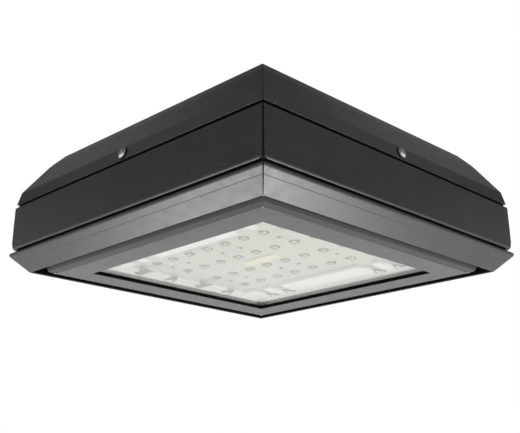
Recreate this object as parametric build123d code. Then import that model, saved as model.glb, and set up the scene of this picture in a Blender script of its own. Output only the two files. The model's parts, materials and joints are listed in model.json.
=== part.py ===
"""Square ceiling light for a parking garage, in millimetres.

The parts are drawn with z = 0 at the lower face of the lens frame and +Z up, then lowered by the
light's height, so that the origin ends at the middle of the top cover's mounting face.
"""

import os
from math import atan2, cos, degrees, hypot, radians

from build123d import *

# Driving dimensions of the outside
height = 177.8
sheet = 2.0
reach = 300.0

cover_top_half = 204.0
cover_shoulder_half = 219.0
cover_shoulder_z = 161.3
cover_crease_half = 246.3
cover_crease_z = 120.0
cover_bottom_half = 250.2
cover_bottom_z = 101.6
shoulder_radius = 60.0
crease_radius = 8.0
wall_lean = degrees(atan2(cover_bottom_half - cover_crease_half, cover_crease_z - cover_bottom_z))

band_top_half = 251.6
band_top_z = 97.9
band_bottom_half = 252.4
band_bottom_z = 33.4
band_wall = 2.5
band_corner = 3.2
band_edge_round = 3.0
band_flange_half = 238.0

rim_half = 254.0
rim_top_z = 30.0
rim_round = 3.5
rim_flange_half = 237.0
trim_bottom_half = 231.5
trim_bottom_z = 1.4

# Foam strips that close the gaps
cover_gasket_inner = 243.4
cover_gasket_outer = 247.9
cover_gasket_rise = 4.2
door_gasket_inner = 239.5
door_gasket_outer = 246.5

window_half = 168.8
frame_face_half = 206.5
frame_bend_half = 217.1
frame_bend_z = 11.6
recess_z = 20.0

# Lens
gasket_height = 3.5
glass_thickness = 4.0
glass_half = 182.5
glass_bottom_z = sheet + gasket_height
glass_top_z = glass_bottom_z + glass_thickness

# Clips that hold the glass, their studs and nuts
clip_tip_half = 177.5
clip_bend_half = 186.0
clip_foot_half = 200.0
clip_sheet = 1.5
clip_width = 24.0
clip_places = [-100.0, 100.0]
stud_half = 193.0
stud_radius = 2.0
stud_top_z = 9.0

# Chassis
pan_floor_z = 31.8
pan_half = 188.0
chassis_z = band_bottom_z + band_wall
chassis_half = 248.0
chassis_top_z = chassis_z + sheet

# Reflector tray
tray_half = 175.4
tray_skin = 1.2
tray_rim_z = 10.3
tray_border_z = 18.4
tray_floor_z = 24.8
field_half_x = 157.7
field_half_y = 118.7
row_trough_half = 171.0
row_trough_width = 14.0
dart_tip_y = 166.0
dart_tip_half = 4.0
dart_root_half = 13.0

# Light engine
board_thickness = 1.6
board_half_x = 140.0
board_half_y = 11.0
spreader_thickness = 4.0
spreader_half = 171.0
spreader_z = pan_floor_z - spreader_thickness
board_z = spreader_z - board_thickness
led_columns = [-126.0, -90.0, -54.0, -18.0, 18.0, 54.0, 90.0, 126.0]
led_rows = [-88.0, -29.5, 29.5, 88.0]
dart_columns = [-126.0, -90.0, 90.0, 126.0]
rivet_columns = [-126.0, -90.0, -18.0, 18.0, 90.0, 126.0]
rivet_rows = [-58.75, 58.75]
rivet_head_radius = 3.0
rivet_head_height = 1.0
rivet_radius = 1.6
package_half = 1.75
package_height = 0.7
optic_radius = 7.0
optic_rise = 4.2
optic_base = 1.0
optic_pocket_half = 2.2
optic_hole_radius = 7.6
connector_half_x = 32.5
connector_half_y = 9.5
connector_height = 3.0

# Electrical gear
lead_x = 158.0
lead_hole_radius = 8.0
lead_radius = 1.3
supply_radius = 1.6
gear_z = 86.0
sink_half_x = 140.0
sink_half_y = 91.0
sink_base = 5.0
sink_height = 42.0
fin_count = 16
fin_pitch = 12.0
bridge_half = 200.0
bridge_foot_half = 222.0
bridge_width = 160.0
driver_half_x = 115.0
driver_front_y = -62.0
driver_back_y = -2.0
driver_height = 38.0
driver_middle_y = (driver_front_y + driver_back_y) / 2
ear_half_x = 130.0
ear_half_y = 20.0
ear_height = 3.0
ear_screw_x = 123.0
pole_x = 31.0
pole_pitch = 16.0
pole_count = 3

# Cover fasteners
screw_z = 111.0
screw_radius = 3.0
screw_length = 14.0
washer_thickness = 1.5
washer_radius = 7.8
head_flange_radius = 7.35
tab_rise = 8.0
fit_gap = 0.1
nut_height = 5.0
nut_corner_radius = 5.5

# Door hinge and captive screws
hinge_y = 260.0
hinge_z = 29.0
hinge_xs = [-150.0, 150.0]
pin_radius = 2.5
pin_clearance = 0.05
knuckle_radius = 5.0
hinge_width = 60.0
door_knuckle_width = 30.0
knuckle_gap = 0.5
leaf_root_half = 245.0
leaf_face_half = 255.0
leaf_top_z = 62.0
leaf_bend_z = 39.0
leaf_sheet = 2.2
captive_x = 150.0
captive_y = -223.5
captive_head_radius = 5.5
captive_tip_z = 43.5

# Interfaces on the ceiling side
anchor_spacing = 152.4
anchor_radius = 3.5
box_screw_spacing = 88.9
box_screw_radius = 2.75
entry_radius = 11.1
plate_half = 110.0
plate_thickness = 3.0


def box(x0, x1, y0, y1, z0, z1):
    """Block between two corners."""
    middle = Pos((x0 + x1) / 2, (y0 + y1) / 2, (z0 + z1) / 2)
    return middle * Box(x1 - x0, y1 - y0, z1 - z0)


def rod(x, y, z0, z1, radius):
    """Upright cylinder."""
    return Pos(x, y, (z0 + z1) / 2) * Cylinder(radius, z1 - z0)


def rod_x(x0, x1, y, z, radius):
    """Cylinder along X."""
    return Pos((x0 + x1) / 2, y, z) * Rot(0, 90, 0) * Cylinder(radius, x1 - x0)


def polygon(*points):
    """Flat face through points."""
    return make_face(Polyline(*points, close=True))


def mitred(section):
    """Solid of one section, in half width and height, run round four sides with mitred corners."""
    strip = extrude(Plane.XZ * section, amount=reach, both=True)
    wedge = extrude(polygon((0, 0), (reach, -reach), (reach, reach)), amount=height * 2, both=True)
    side = strip & wedge
    sides = [Rot(0, 0, 90 * turn) * side for turn in range(4)]
    return sides[0] + sides[1:]


def square_ring(inner_half, outer_half, z0, z1):
    """Flat square ring with sharp corners."""
    outer = box(-outer_half, outer_half, -outer_half, outer_half, z0, z1)
    inner = box(-inner_half, inner_half, -inner_half, inner_half, z0 - 1, z1 + 1)
    return outer - inner


def around(part):
    """The same part on each of the four sides."""
    return [Rot(0, 0, 90 * turn) * part for turn in range(4)]


def cover_half(z):
    """Half width of the cover's lower wall at height z."""
    share = (z - cover_bottom_z) / (cover_crease_z - cover_bottom_z)
    return cover_bottom_half + share * (cover_crease_half - cover_bottom_half)


def wall_inside(z):
    """Half width just clear of the inside of the cover's lower wall at height z."""
    return cover_half(z) - sheet / cos(radians(wall_lean)) - fit_gap


def on_wall(part):
    """A part drawn with +Z out of the cover's wall, put where the side screw is."""
    return Pos(cover_half(screw_z), 0, screw_z) * Rot(0, 90 - wall_lean, 0) * part


def trim_slope():
    """Where the trim's sloping face meets its rolled rim, and the outward normal of that face."""
    centre = (rim_half - rim_round, rim_top_z - rim_round)
    run = centre[0] - trim_bottom_half
    rise = centre[1] - trim_bottom_z
    distance = hypot(run, rise)
    lean = rim_round / distance
    along = (1 - lean**2) ** 0.5
    direction = (
        (run * along + rise * lean) / distance,
        (rise * along - run * lean) / distance,
    )
    normal = (direction[1], -direction[0])
    return centre, direction, normal


rim_centre, slope, slope_normal = trim_slope()


def trim_half(z, inset=0.0):
    """Half width of the trim's sloping face at height z, or of its inside at an inset."""
    start_x = trim_bottom_half - inset * slope_normal[0]
    start_z = trim_bottom_z - inset * slope_normal[1]
    return start_x + (z - start_z) * slope[0] / slope[1]


def cover_outline():
    """Full outline of the cover in half width and height: wall, lower slope, upper slope and top."""
    right = [
        (cover_bottom_half, cover_bottom_z),
        (cover_crease_half, cover_crease_z),
        (cover_shoulder_half, cover_shoulder_z),
        (cover_top_half, height),
    ]
    left = [(-half, z) for half, z in reversed(right)]
    outline = polygon(*right, *left)
    for z, radius in ((cover_crease_z, crease_radius), (cover_shoulder_z, shoulder_radius)):
        corners = [corner for corner in outline.vertices() if abs(corner.Y - z) < 0.01]
        outline = fillet(corners, radius)
    return outline


def top_cover():
    """Formed sheet cover with hipped corners, holes for the ceiling and for its side screws."""
    outline = cover_outline()
    inside = offset(outline, -sheet, kind=Kind.INTERSECTION)
    low, high = cover_bottom_z - 1, cover_bottom_z + 2 * sheet
    low_half, high_half = wall_inside(low) + fit_gap, wall_inside(high) + fit_gap
    mouth = polygon((-low_half, low), (low_half, low), (high_half, high), (-high_half, high))
    section = outline - inside - mouth
    half = section & Pos(reach / 2, height / 2) * Rectangle(reach, height * 2)
    shell = mitred(half)
    shell -= ceiling_holes(height - sheet, height)
    shell -= around(on_wall(Cylinder(screw_radius + 0.4, 4 * sheet)))
    return shell


def ceiling_holes(z0, z1):
    """Cutters for the wire entry, the anchor holes and the outlet box holes."""
    far = anchor_spacing / 2
    near = box_screw_spacing / 2
    cutters = [rod(0, 0, z0 - 1, z1 + 1, entry_radius)]
    cutters += [rod(x, y, z0 - 1, z1 + 1, anchor_radius) for x in (-far, far) for y in (-far, far)]
    cutters += [rod(x, 0, z0 - 1, z1 + 1, box_screw_radius) for x in (-near, near)]
    return cutters


def mounting_plate():
    """Stiffening plate welded under the cover's flat top."""
    top = height - sheet
    plate = box(-plate_half, plate_half, -plate_half, plate_half, top - plate_thickness, top)
    return plate - ceiling_holes(top - plate_thickness, top)


def band_form(inset, z0, z1, corner):
    """Tapered square block that follows the band's outside at an inset."""
    def half(z):
        share = (z - band_bottom_z) / (band_top_z - band_bottom_z)
        return band_bottom_half + share * (band_top_half - band_bottom_half) - inset

    low = Pos(0, 0, z0) * RectangleRounded(2 * half(z0), 2 * half(z0), corner)
    high = Pos(0, 0, z1) * RectangleRounded(2 * half(z1), 2 * half(z1), corner)
    return loft([low, high])


def side_band():
    """Rolled channel round the four sides, open towards the middle."""
    outer = band_form(0, band_bottom_z, band_top_z, band_corner)
    ends = outer.faces().sort_by(Axis.Z)
    outer = fillet(ends[0].edges() + ends[-1].edges(), band_edge_round)
    inside = band_form(
        band_wall, band_bottom_z + band_wall, band_top_z - band_wall, band_corner - band_wall
    )
    middle = box(
        -band_flange_half, band_flange_half, -band_flange_half, band_flange_half, 0, height
    )
    return outer - inside - middle


def cover_gasket():
    """Foam strip between the band's top flange and the cover's wall."""
    top = band_top_z + cover_gasket_rise
    return square_ring(cover_gasket_inner, cover_gasket_outer, band_top_z, top)


def cover_brackets():
    """Four joggled brackets that carry the cover's side screws."""
    step_z = band_top_z + cover_gasket_rise + fit_gap
    tab_top_z = screw_z + tab_rise
    face_low = wall_inside(step_z)
    face_high = wall_inside(tab_top_z)
    foot_half = 225.0
    width = 40.0
    riser_half = band_flange_half - 0.3
    section = polygon(
        (foot_half, chassis_top_z),
        (riser_half, chassis_top_z),
        (riser_half, step_z),
        (face_low, step_z),
        (face_high, tab_top_z),
        (face_high - sheet, tab_top_z),
        (face_low - sheet, step_z + sheet),
        (riser_half - sheet, step_z + sheet),
        (riser_half - sheet, chassis_top_z + sheet),
        (foot_half, chassis_top_z + sheet),
    )
    bracket = extrude(Plane.XZ * section, amount=width / 2, both=True)
    bracket -= on_wall(Cylinder(screw_radius + 0.3, 2 * screw_length))
    return around(bracket)


def weld_nuts():
    """Four nuts welded behind the brackets' tabs."""
    nut_top = -2 * (sheet + fit_gap)
    hexagon = Rot(0, 0, 30) * RegularPolygon(nut_corner_radius, 6)
    body = Pos(0, 0, nut_top - nut_height) * extrude(hexagon, nut_height)
    return around(on_wall(body - Cylinder(screw_radius + 0.05, 2 * screw_length)))


def sealing_washers():
    """Four rubber washers on the cover's wall."""
    washer = rod(0, 0, 0, washer_thickness, washer_radius)
    return around(on_wall(washer - Cylinder(screw_radius + 0.05, 2 * screw_length)))


def cover_screws():
    """Four flanged button head screws with hex sockets."""
    outline = make_face(
        Curve()
        + [
            Line((0, 0), (head_flange_radius, 0)),
            Line((head_flange_radius, 0), (head_flange_radius, 0.7)),
            Line((head_flange_radius, 0.7), (5.4, 1.0)),
            ThreePointArc((5.4, 1.0), (4.6, 2.1), (2.9, 2.7)),
            Line((2.9, 2.7), (0, 2.7)),
            Line((0, 2.7), (0, 0)),
        ]
    )
    head = revolve(Plane.XZ * outline, Axis.Z)
    head -= Pos(0, 0, 0.9) * extrude(RegularPolygon(2.3, 6), 4)
    screw = head + rod(0, 0, -screw_length, 0, screw_radius)
    return around(on_wall(Pos(0, 0, washer_thickness) * screw))


def chassis_pan():
    """Pressed pan that carries the light engine below and the gear above."""
    section = polygon(
        (0, pan_floor_z),
        (pan_half, pan_floor_z),
        (pan_half, chassis_z),
        (chassis_half, chassis_z),
        (chassis_half, chassis_top_z),
        (pan_half - sheet, chassis_top_z),
        (pan_half - sheet, pan_floor_z + sheet),
        (0, pan_floor_z + sheet),
    )
    pan = mitred(section)
    for x in (-captive_x, captive_x):
        pan -= rod(x, captive_y, chassis_z - 1, chassis_top_z + 1, 4.2)
    pan -= rod(lead_x, 0, pan_floor_z - 1, pan_floor_z + sheet + 1, lead_hole_radius)
    return pan


def floating_nuts():
    """Two caged nuts on the chassis for the door's captive screws."""
    nuts = []
    for x in (-captive_x, captive_x):
        cage = box(x - 9, x + 9, captive_y - 7, captive_y + 7, chassis_top_z, chassis_top_z + 4)
        nuts.append(cage - rod(x, captive_y, chassis_top_z - 1, chassis_top_z + 6, 3.6))
    return nuts


def door_gasket():
    """Foam strip that the door's rim closes against."""
    return square_ring(door_gasket_inner, door_gasket_outer, rim_top_z, band_bottom_z)


def trim_outside():
    """Outer edges of the trim from its bottom edge to the top of its rolled rim."""
    cx, cz = rim_centre
    nx, nz = slope_normal
    start = (trim_bottom_half, trim_bottom_z)
    touch = (cx + rim_round * nx, cz + rim_round * nz)
    return [Line(start, touch), ThreePointArc(touch, (cx + rim_round, cz), (cx, rim_top_z))]


def lower_trim():
    """Sloping skirt of the door with a rolled rim and an inward flange."""
    cx, cz = rim_centre
    nx, nz = slope_normal
    inner_round = rim_round - sheet
    start = (trim_bottom_half, trim_bottom_z)
    inner_start = (start[0] - sheet * nx, start[1] - sheet * nz)
    inner_touch = (cx + inner_round * nx, cz + inner_round * nz)
    section = make_face(
        Curve()
        + trim_outside()
        + [
            Line((cx, rim_top_z), (rim_flange_half, rim_top_z)),
            Line((rim_flange_half, rim_top_z), (rim_flange_half, rim_top_z - sheet)),
            Line((rim_flange_half, rim_top_z - sheet), (cx, rim_top_z - sheet)),
            ThreePointArc((cx, rim_top_z - sheet), (cx + inner_round, cz), inner_touch),
            Line(inner_touch, inner_start),
            Line(inner_start, start),
        ]
    )
    return mitred(section)


def lens_frame():
    """Flat frame round the window, its sloping wall and the flange that closes the recess."""
    run = frame_bend_half - frame_face_half
    length = hypot(run, frame_bend_z)
    inner_x = frame_face_half - sheet * frame_bend_z / length
    inner_z = sheet * run / length
    wall_half = frame_bend_half - sheet
    flange_top = recess_z + sheet
    section = polygon(
        (window_half, 0),
        (frame_face_half, 0),
        (frame_bend_half, frame_bend_z),
        (frame_bend_half, recess_z),
        (trim_half(recess_z, sheet) - 0.02, recess_z),
        (trim_half(flange_top, sheet) - 0.02, flange_top),
        (wall_half, flange_top),
        (wall_half, inner_z + (wall_half - inner_x) * frame_bend_z / run),
        (inner_x + (sheet - inner_z) * run / frame_bend_z, sheet),
        (window_half, sheet),
    )
    frame = mitred(section)
    for x in (-captive_x, captive_x):
        frame -= rod(x, captive_y, recess_z - 1, flange_top + 1, screw_radius + 0.4)
    return frame


def lens_gasket():
    """Black rubber strip under the glass."""
    return square_ring(window_half + 0.3, glass_half + 0.5, sheet, glass_bottom_z)


def lens_glass():
    """Clear tempered pane."""
    return box(-glass_half, glass_half, -glass_half, glass_half, glass_bottom_z, glass_top_z)


def lens_clips():
    """Eight bent clips that hold the glass down."""
    tongue_z = glass_top_z + clip_sheet
    foot_z = sheet + clip_sheet
    section = polygon(
        (clip_tip_half, glass_top_z),
        (clip_bend_half - clip_sheet, glass_top_z),
        (clip_bend_half - clip_sheet, sheet),
        (clip_foot_half, sheet),
        (clip_foot_half, foot_z),
        (clip_bend_half, foot_z),
        (clip_bend_half, tongue_z),
        (clip_tip_half, tongue_z),
    )
    clips = []
    for place in clip_places:
        clip = Pos(0, place, 0) * extrude(Plane.XZ * section, amount=clip_width / 2, both=True)
        clip -= rod(stud_half, place, 0, stud_top_z, stud_radius + 0.1)
        clips += around(clip)
    return clips


def clip_studs():
    """Eight studs welded to the lens frame's inner face."""
    studs = []
    for place in clip_places:
        studs += around(rod(stud_half, place, sheet, stud_top_z, stud_radius))
    return studs


def clip_nuts():
    """Eight hex nuts on the studs."""
    nuts = []
    for place in clip_places:
        nut = Pos(stud_half, place, sheet + clip_sheet) * extrude(RegularPolygon(4.0, 6), 3.2)
        nuts += around(nut - rod(stud_half, place, 0, stud_top_z, stud_radius + 0.05))
    return nuts


def hinge_leaves_fixed():
    """Two hinge leaves on the band, each with two knuckles."""
    root_z = band_bottom_z + 3.1
    section = polygon(
        (leaf_root_half, leaf_top_z),
        (leaf_face_half, leaf_top_z),
        (leaf_face_half, leaf_bend_z),
        (hinge_y + 1.5, hinge_z + 4.0),
        (hinge_y - 2.0, hinge_z + 2.5),
        (leaf_face_half - leaf_sheet, root_z),
        (leaf_root_half, root_z),
    )
    leaves = []
    for x in hinge_xs:
        plate = extrude(Plane.YZ * section, amount=hinge_width / 2, both=True)
        plate = Pos(x, 0, 0) * plate
        low, high = x - hinge_width / 2, x + hinge_width / 2
        barrel = rod_x(low, high, hinge_y, hinge_z, knuckle_radius)
        half_gap = door_knuckle_width / 2
        gap = box(x - half_gap, x + half_gap, hinge_y - 9, hinge_y + 9, hinge_z - 8, hinge_z + 9)
        leaf = plate + barrel - gap
        leaf -= rod_x(low, high, hinge_y, hinge_z, pin_radius + pin_clearance)
        leaf -= band_form(0, band_bottom_z, band_top_z, band_corner)
        leaves.append(leaf)
    return leaves


def hinge_pins():
    """Two hinge pins with upset heads."""
    pins = []
    for x in hinge_xs:
        end = x + hinge_width / 2
        pin = rod_x(x - hinge_width / 2 - 2, end, hinge_y, hinge_z, pin_radius)
        pins.append(pin + rod_x(end, end + 2, hinge_y, hinge_z, 3.8))
    return pins


def hinge_leaves_door():
    """Two hinge leaves on the door's sloping trim, each with one knuckle."""
    nx, nz = slope_normal
    low, high = 9.0, 22.5
    section = polygon(
        (trim_half(low) - 3, low),
        (trim_half(low) + leaf_sheet * nx, low + leaf_sheet * nz),
        (trim_half(high) + leaf_sheet * nx, high + leaf_sheet * nz),
        (hinge_y, hinge_z - knuckle_radius + 0.1),
        (hinge_y - 3.5, hinge_z - 1.0),
        (trim_half(high) - 2, high + 1),
    )
    width = door_knuckle_width - 2 * knuckle_gap
    trim_body = make_face(
        Curve()
        + trim_outside()
        + [
            Line((rim_centre[0], rim_top_z), (0, rim_top_z)),
            Line((0, rim_top_z), (0, trim_bottom_z)),
            Line((0, trim_bottom_z), (trim_bottom_half, trim_bottom_z)),
        ]
    )
    leaves = []
    for x in hinge_xs:
        plate = Pos(x, 0, 0) * extrude(Plane.YZ * section, amount=width / 2, both=True)
        leaf = plate + rod_x(x - width / 2, x + width / 2, hinge_y, hinge_z, knuckle_radius)
        leaf -= rod_x(x - 40, x + 40, hinge_y, hinge_z, pin_radius + pin_clearance)
        leaf -= Pos(x, 0, 0) * extrude(Plane.YZ * trim_body, amount=width, both=True)
        leaves.append(leaf)
    return leaves


def captive_screw(x):
    """Socket head screw kept in the door, reaching up to the chassis nut."""
    seat = recess_z - 0.1
    head = rod(x, captive_y, seat - 4.0, seat, captive_head_radius)
    head -= Pos(x, captive_y, seat - 4.5) * extrude(RegularPolygon(2.9, 6), 3.0)
    return head + rod(x, captive_y, seat, captive_tip_z, screw_radius)


def retaining_ring(x):
    """Ring on the captive screw that stops it at the recess flange."""
    ring = rod(x, captive_y, 28.2, 29.6, 5.0)
    return ring - rod(x, captive_y, 27, 31, screw_radius)


def heat_spreader():
    """Aluminium plate that carries the LED boards."""
    plate = box(-spreader_half, spreader_half, -spreader_half, spreader_half, spreader_z, pan_floor_z)
    for x in rivet_columns:
        for y in rivet_rows:
            plate -= rod(x, y, spreader_z - 1, pan_floor_z + 1, rivet_radius + 0.05)
    return plate - rod(lead_x, 0, spreader_z - 1, pan_floor_z + 1, lead_hole_radius)


def led_board(y):
    """Long circuit board under the spreader for one row of LEDs."""
    return box(-board_half_x, board_half_x, y - board_half_y, y + board_half_y, board_z, spreader_z)


def led_chips():
    """One LED package over each optic."""
    side = 2 * package_half
    package = Pos(0, 0, -package_height / 2) * Box(side, side, package_height)
    return [Pos(x, y, board_z) * package for x in led_columns for y in led_rows]


def led_optics():
    """One clear dome under each LED."""
    ball_radius = (optic_radius**2 + optic_rise**2) / (2 * optic_rise)
    dome = Pos(0, 0, ball_radius - optic_rise - optic_base) * Sphere(ball_radius)
    dome &= rod(0, 0, -2 * optic_rise, -optic_base, optic_radius)
    dome += rod(0, 0, -optic_base, 0, optic_radius)
    dome -= Box(2 * optic_pocket_half, 2 * optic_pocket_half, 2 * optic_base)
    return [Pos(x, y, board_z) * dome for x in led_columns for y in led_rows]


def recess_plan(grow):
    """Plan of the tray's deep field: the middle, the row troughs and the tapered darts."""
    plan = Rectangle(2 * (field_half_x + grow), 2 * (field_half_y + grow))
    for y in led_rows:
        plan += Pos(0, y) * Rectangle(2 * (row_trough_half + grow), row_trough_width + 2 * grow)
    root = field_half_y - 5
    for x in dart_columns:
        for side in (-1, 1):
            dart = polygon(
                (x - dart_root_half - grow, side * root),
                (x + dart_root_half + grow, side * root),
                (x + dart_tip_half + grow, side * (dart_tip_y + grow)),
                (x - dart_tip_half - grow, side * (dart_tip_y + grow)),
            )
            plan += dart
    return plan


def reflector_tray():
    """White formed reflector with a skirt, a raised border and a deep field for the optics."""
    top = tray_floor_z + tray_skin
    tray = box(-tray_half, tray_half, -tray_half, tray_half, tray_rim_z, pan_floor_z)
    inner = tray_half - tray_skin
    tray -= box(-inner, inner, -inner, inner, tray_rim_z - 1, tray_border_z)
    tray -= box(-inner, inner, -inner, inner, top, pan_floor_z + 1)
    tray -= extrude(Pos(0, 0, tray_rim_z) * recess_plan(0), tray_floor_z - tray_rim_z)
    border = Rectangle(2 * inner, 2 * inner) - recess_plan(tray_skin)
    tray -= extrude(Pos(0, 0, tray_border_z + tray_skin) * border, top - tray_border_z)
    for x in led_columns:
        for y in led_rows:
            tray -= rod(x, y, tray_border_z, top + 1, optic_hole_radius)
    for x in rivet_columns:
        for y in rivet_rows:
            tray -= rod(x, y, tray_border_z, top + 1, rivet_radius + 0.1)
    return tray


def tray_rivets():
    """Rivets that hold the tray to the spreader."""
    head_z = tray_floor_z - rivet_head_height
    rivets = []
    for x in rivet_columns:
        for y in rivet_rows:
            head = rod(x, y, head_z, tray_floor_z, rivet_head_radius)
            rivets.append(head + rod(x, y, tray_floor_z, pan_floor_z - 0.5, rivet_radius))
    return rivets


def connector_cover():
    """Cream plastic cover over the middle connector."""
    cover = Box(2 * connector_half_x, 2 * connector_half_y, connector_height)
    cover = Pos(0, 0, tray_floor_z - connector_height / 2) * cover
    return fillet(cover.edges().filter_by(Axis.Z), 2.0)


def heat_sink():
    """Finned extrusion on the pan's floor."""
    base_z = pan_floor_z + sheet
    fin_z = base_z + sink_base
    sink = box(-sink_half_x, sink_half_x, -sink_half_y, sink_half_y, base_z, fin_z)
    for number in range(fin_count):
        y = fin_pitch * (number - (fin_count - 1) / 2)
        sink += box(-sink_half_x, sink_half_x, y - 1, y + 1, fin_z, base_z + sink_height)
    return sink


def gear_bridge():
    """Bent steel bridge over the heat sink that carries the electrical gear."""
    foot_z = chassis_top_z
    top_z = gear_z - sheet
    inner_half = bridge_half - sheet
    section = polygon(
        (-bridge_foot_half, foot_z),
        (-inner_half, foot_z),
        (-inner_half, top_z),
        (inner_half, top_z),
        (inner_half, foot_z),
        (bridge_foot_half, foot_z),
        (bridge_foot_half, foot_z + sheet),
        (bridge_half, foot_z + sheet),
        (bridge_half, gear_z),
        (-bridge_half, gear_z),
        (-bridge_half, foot_z + sheet),
        (-bridge_foot_half, foot_z + sheet),
    )
    bridge = extrude(Plane.XZ * section, amount=bridge_width / 2, both=True)
    return bridge - rod(lead_x, 0, top_z - 1, gear_z + 1, lead_hole_radius)


def led_driver():
    """Potted driver with a mounting ear at each end."""
    z = gear_z
    body = box(-driver_half_x, driver_half_x, driver_front_y, driver_back_y, z, z + driver_height)
    body = fillet(body.edges().filter_by(Axis.X), 3.0)
    ears = Box(2 * ear_half_x, 2 * ear_half_y, ear_height)
    driver = body + Pos(0, driver_middle_y, z + ear_height / 2) * ears
    for x in (-ear_screw_x, ear_screw_x):
        driver -= rod(x, driver_middle_y, z - 1, z + ear_height + 1, 2.3)
    return driver


def driver_screws():
    """Two pan head screws through the driver's ears."""
    z = gear_z + ear_height
    screw = rod(0, driver_middle_y, z, z + 2.4, 4.0) + rod(0, driver_middle_y, gear_z, z, 2.0)
    return [Pos(x, 0, 0) * screw for x in (-ear_screw_x, ear_screw_x)]


def surge_protector():
    """Round-cornered surge module."""
    module = box(-120, -65, 14, 50, gear_z, gear_z + 28)
    return fillet(module.edges().filter_by(Axis.Z), 4.0)


def terminal_block():
    """Three pole block with wire mouths facing -Y and screw wells on top."""
    block = box(20, 74, 26, 46, gear_z, gear_z + 18)
    for pole in range(pole_count):
        x = pole_x + pole_pitch * pole
        block -= rod(x, 36, gear_z + 9, gear_z + 19, 3.2)
        block -= Pos(x, 28.5, gear_z + 5) * Rot(90, 0, 0) * Cylinder(supply_radius + 0.5, 5.1)
    return block


def supply_leads():
    """Three insulated wires from the driver to the terminal block."""
    leads = []
    for pole in range(pole_count):
        x = pole_x + pole_pitch * pole
        path = FilletPolyline(
            (x - 4, driver_back_y, gear_z + 20),
            (x - 4, 12.0, gear_z + 20),
            (x, 16.0, gear_z + 5),
            (x, 29.0, gear_z + 5),
            radius=4.0,
        )
        leads.append(sweep(Plane(path @ 0, z_dir=path % 0) * Circle(supply_radius), path))
    return leads


def led_leads():
    """Two insulated wires from the driver down to the LED boards."""
    leads = []
    for y in (-2.5, 2.5):
        path = FilletPolyline(
            (driver_half_x, y - 9.0, gear_z + 12),
            (driver_half_x + 15, y - 9.0, gear_z + 12),
            (lead_x, y, gear_z + 8),
            (lead_x, y, board_z + 3.0),
            radius=9.0,
        )
        leads.append(sweep(Plane(path @ 0, z_dir=path % 0) * Circle(lead_radius), path))
    return leads


def lead_grommet():
    """Rubber grommet where the LED wires pass the pan."""
    top = pan_floor_z + sheet
    grommet = rod(lead_x, 0, spreader_z, top, lead_hole_radius - fit_gap)
    grommet += rod(lead_x, 0, top, top + 3, lead_hole_radius + 2)
    for y in (-2.5, 2.5):
        grommet -= rod(lead_x, y, spreader_z - 1, top + 4, lead_radius + 0.05)
    return grommet


nodes = {
    "top_cover": top_cover(),
    "mounting_plate": mounting_plate(),
    "cover_gasket": cover_gasket(),
    "cover_brackets": cover_brackets(),
    "weld_nuts": weld_nuts(),
    "sealing_washers": sealing_washers(),
    "cover_screws": cover_screws(),
    "side_band": side_band(),
    "chassis_pan": chassis_pan(),
    "floating_nuts": floating_nuts(),
    "door_gasket": door_gasket(),
    "lower_trim": lower_trim(),
    "lens_frame": lens_frame(),
    "lens_gasket": lens_gasket(),
    "lens_glass": lens_glass(),
    "lens_clips": lens_clips(),
    "clip_studs": clip_studs(),
    "clip_nuts": clip_nuts(),
    "hinge_leaves_fixed": hinge_leaves_fixed(),
    "hinge_pins": hinge_pins(),
    "hinge_leaves_door": hinge_leaves_door(),
    "captive_screw_left": captive_screw(-captive_x),
    "captive_screw_right": captive_screw(captive_x),
    "retaining_ring_left": retaining_ring(-captive_x),
    "retaining_ring_right": retaining_ring(captive_x),
    "heat_spreader": heat_spreader(),
    "led_chips": led_chips(),
    "led_optics": led_optics(),
    "reflector_tray": reflector_tray(),
    "tray_rivets": tray_rivets(),
    "connector_cover": connector_cover(),
    "heat_sink": heat_sink(),
    "gear_bridge": gear_bridge(),
    "led_driver": led_driver(),
    "driver_screws": driver_screws(),
    "surge_protector": surge_protector(),
    "terminal_block": terminal_block(),
    "supply_leads": supply_leads(),
    "led_leads": led_leads(),
    "lead_grommet": lead_grommet(),
}
for number, row in enumerate(led_rows, start=1):
    nodes[f"led_board_{number}"] = led_board(row)

os.makedirs("parts", exist_ok=True)
for name, shape in nodes.items():
    solids = shape if isinstance(shape, list) else [shape]
    lowered = [Pos(0, 0, -height) * solid for part in solids for solid in part.solids()]
    whole = lowered[0] if len(lowered) == 1 else Compound(children=lowered)
    export_step(whole, f"parts/{name}.step")
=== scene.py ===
"""Parking garage light: its shells, seals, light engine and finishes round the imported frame.

Profiles are written in millimetres, as a half width from the middle and a level above the lens
frame's lower face. One function, place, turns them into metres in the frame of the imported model.
"""

import json
import math

import bmesh
import bpy
from mathutils import Matrix, Vector


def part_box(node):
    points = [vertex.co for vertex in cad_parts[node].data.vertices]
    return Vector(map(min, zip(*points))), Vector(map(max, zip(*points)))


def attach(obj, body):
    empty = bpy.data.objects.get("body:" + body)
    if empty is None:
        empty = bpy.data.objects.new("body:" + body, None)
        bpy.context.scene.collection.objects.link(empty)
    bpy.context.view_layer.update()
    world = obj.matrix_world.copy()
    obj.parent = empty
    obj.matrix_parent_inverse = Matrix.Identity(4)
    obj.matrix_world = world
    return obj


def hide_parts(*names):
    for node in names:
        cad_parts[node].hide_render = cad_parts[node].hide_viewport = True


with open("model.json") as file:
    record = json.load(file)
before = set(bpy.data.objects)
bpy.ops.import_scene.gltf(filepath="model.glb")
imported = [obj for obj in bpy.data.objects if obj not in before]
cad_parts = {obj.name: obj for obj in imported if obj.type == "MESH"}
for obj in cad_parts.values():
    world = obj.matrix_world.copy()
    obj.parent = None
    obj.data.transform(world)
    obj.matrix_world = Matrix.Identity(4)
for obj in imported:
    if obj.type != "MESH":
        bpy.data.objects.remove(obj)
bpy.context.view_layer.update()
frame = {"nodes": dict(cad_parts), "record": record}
bpy.context.scene.view_settings.view_transform = "Standard"

MM = 0.001
FACE_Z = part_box("lens_frame")[0].z

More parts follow.
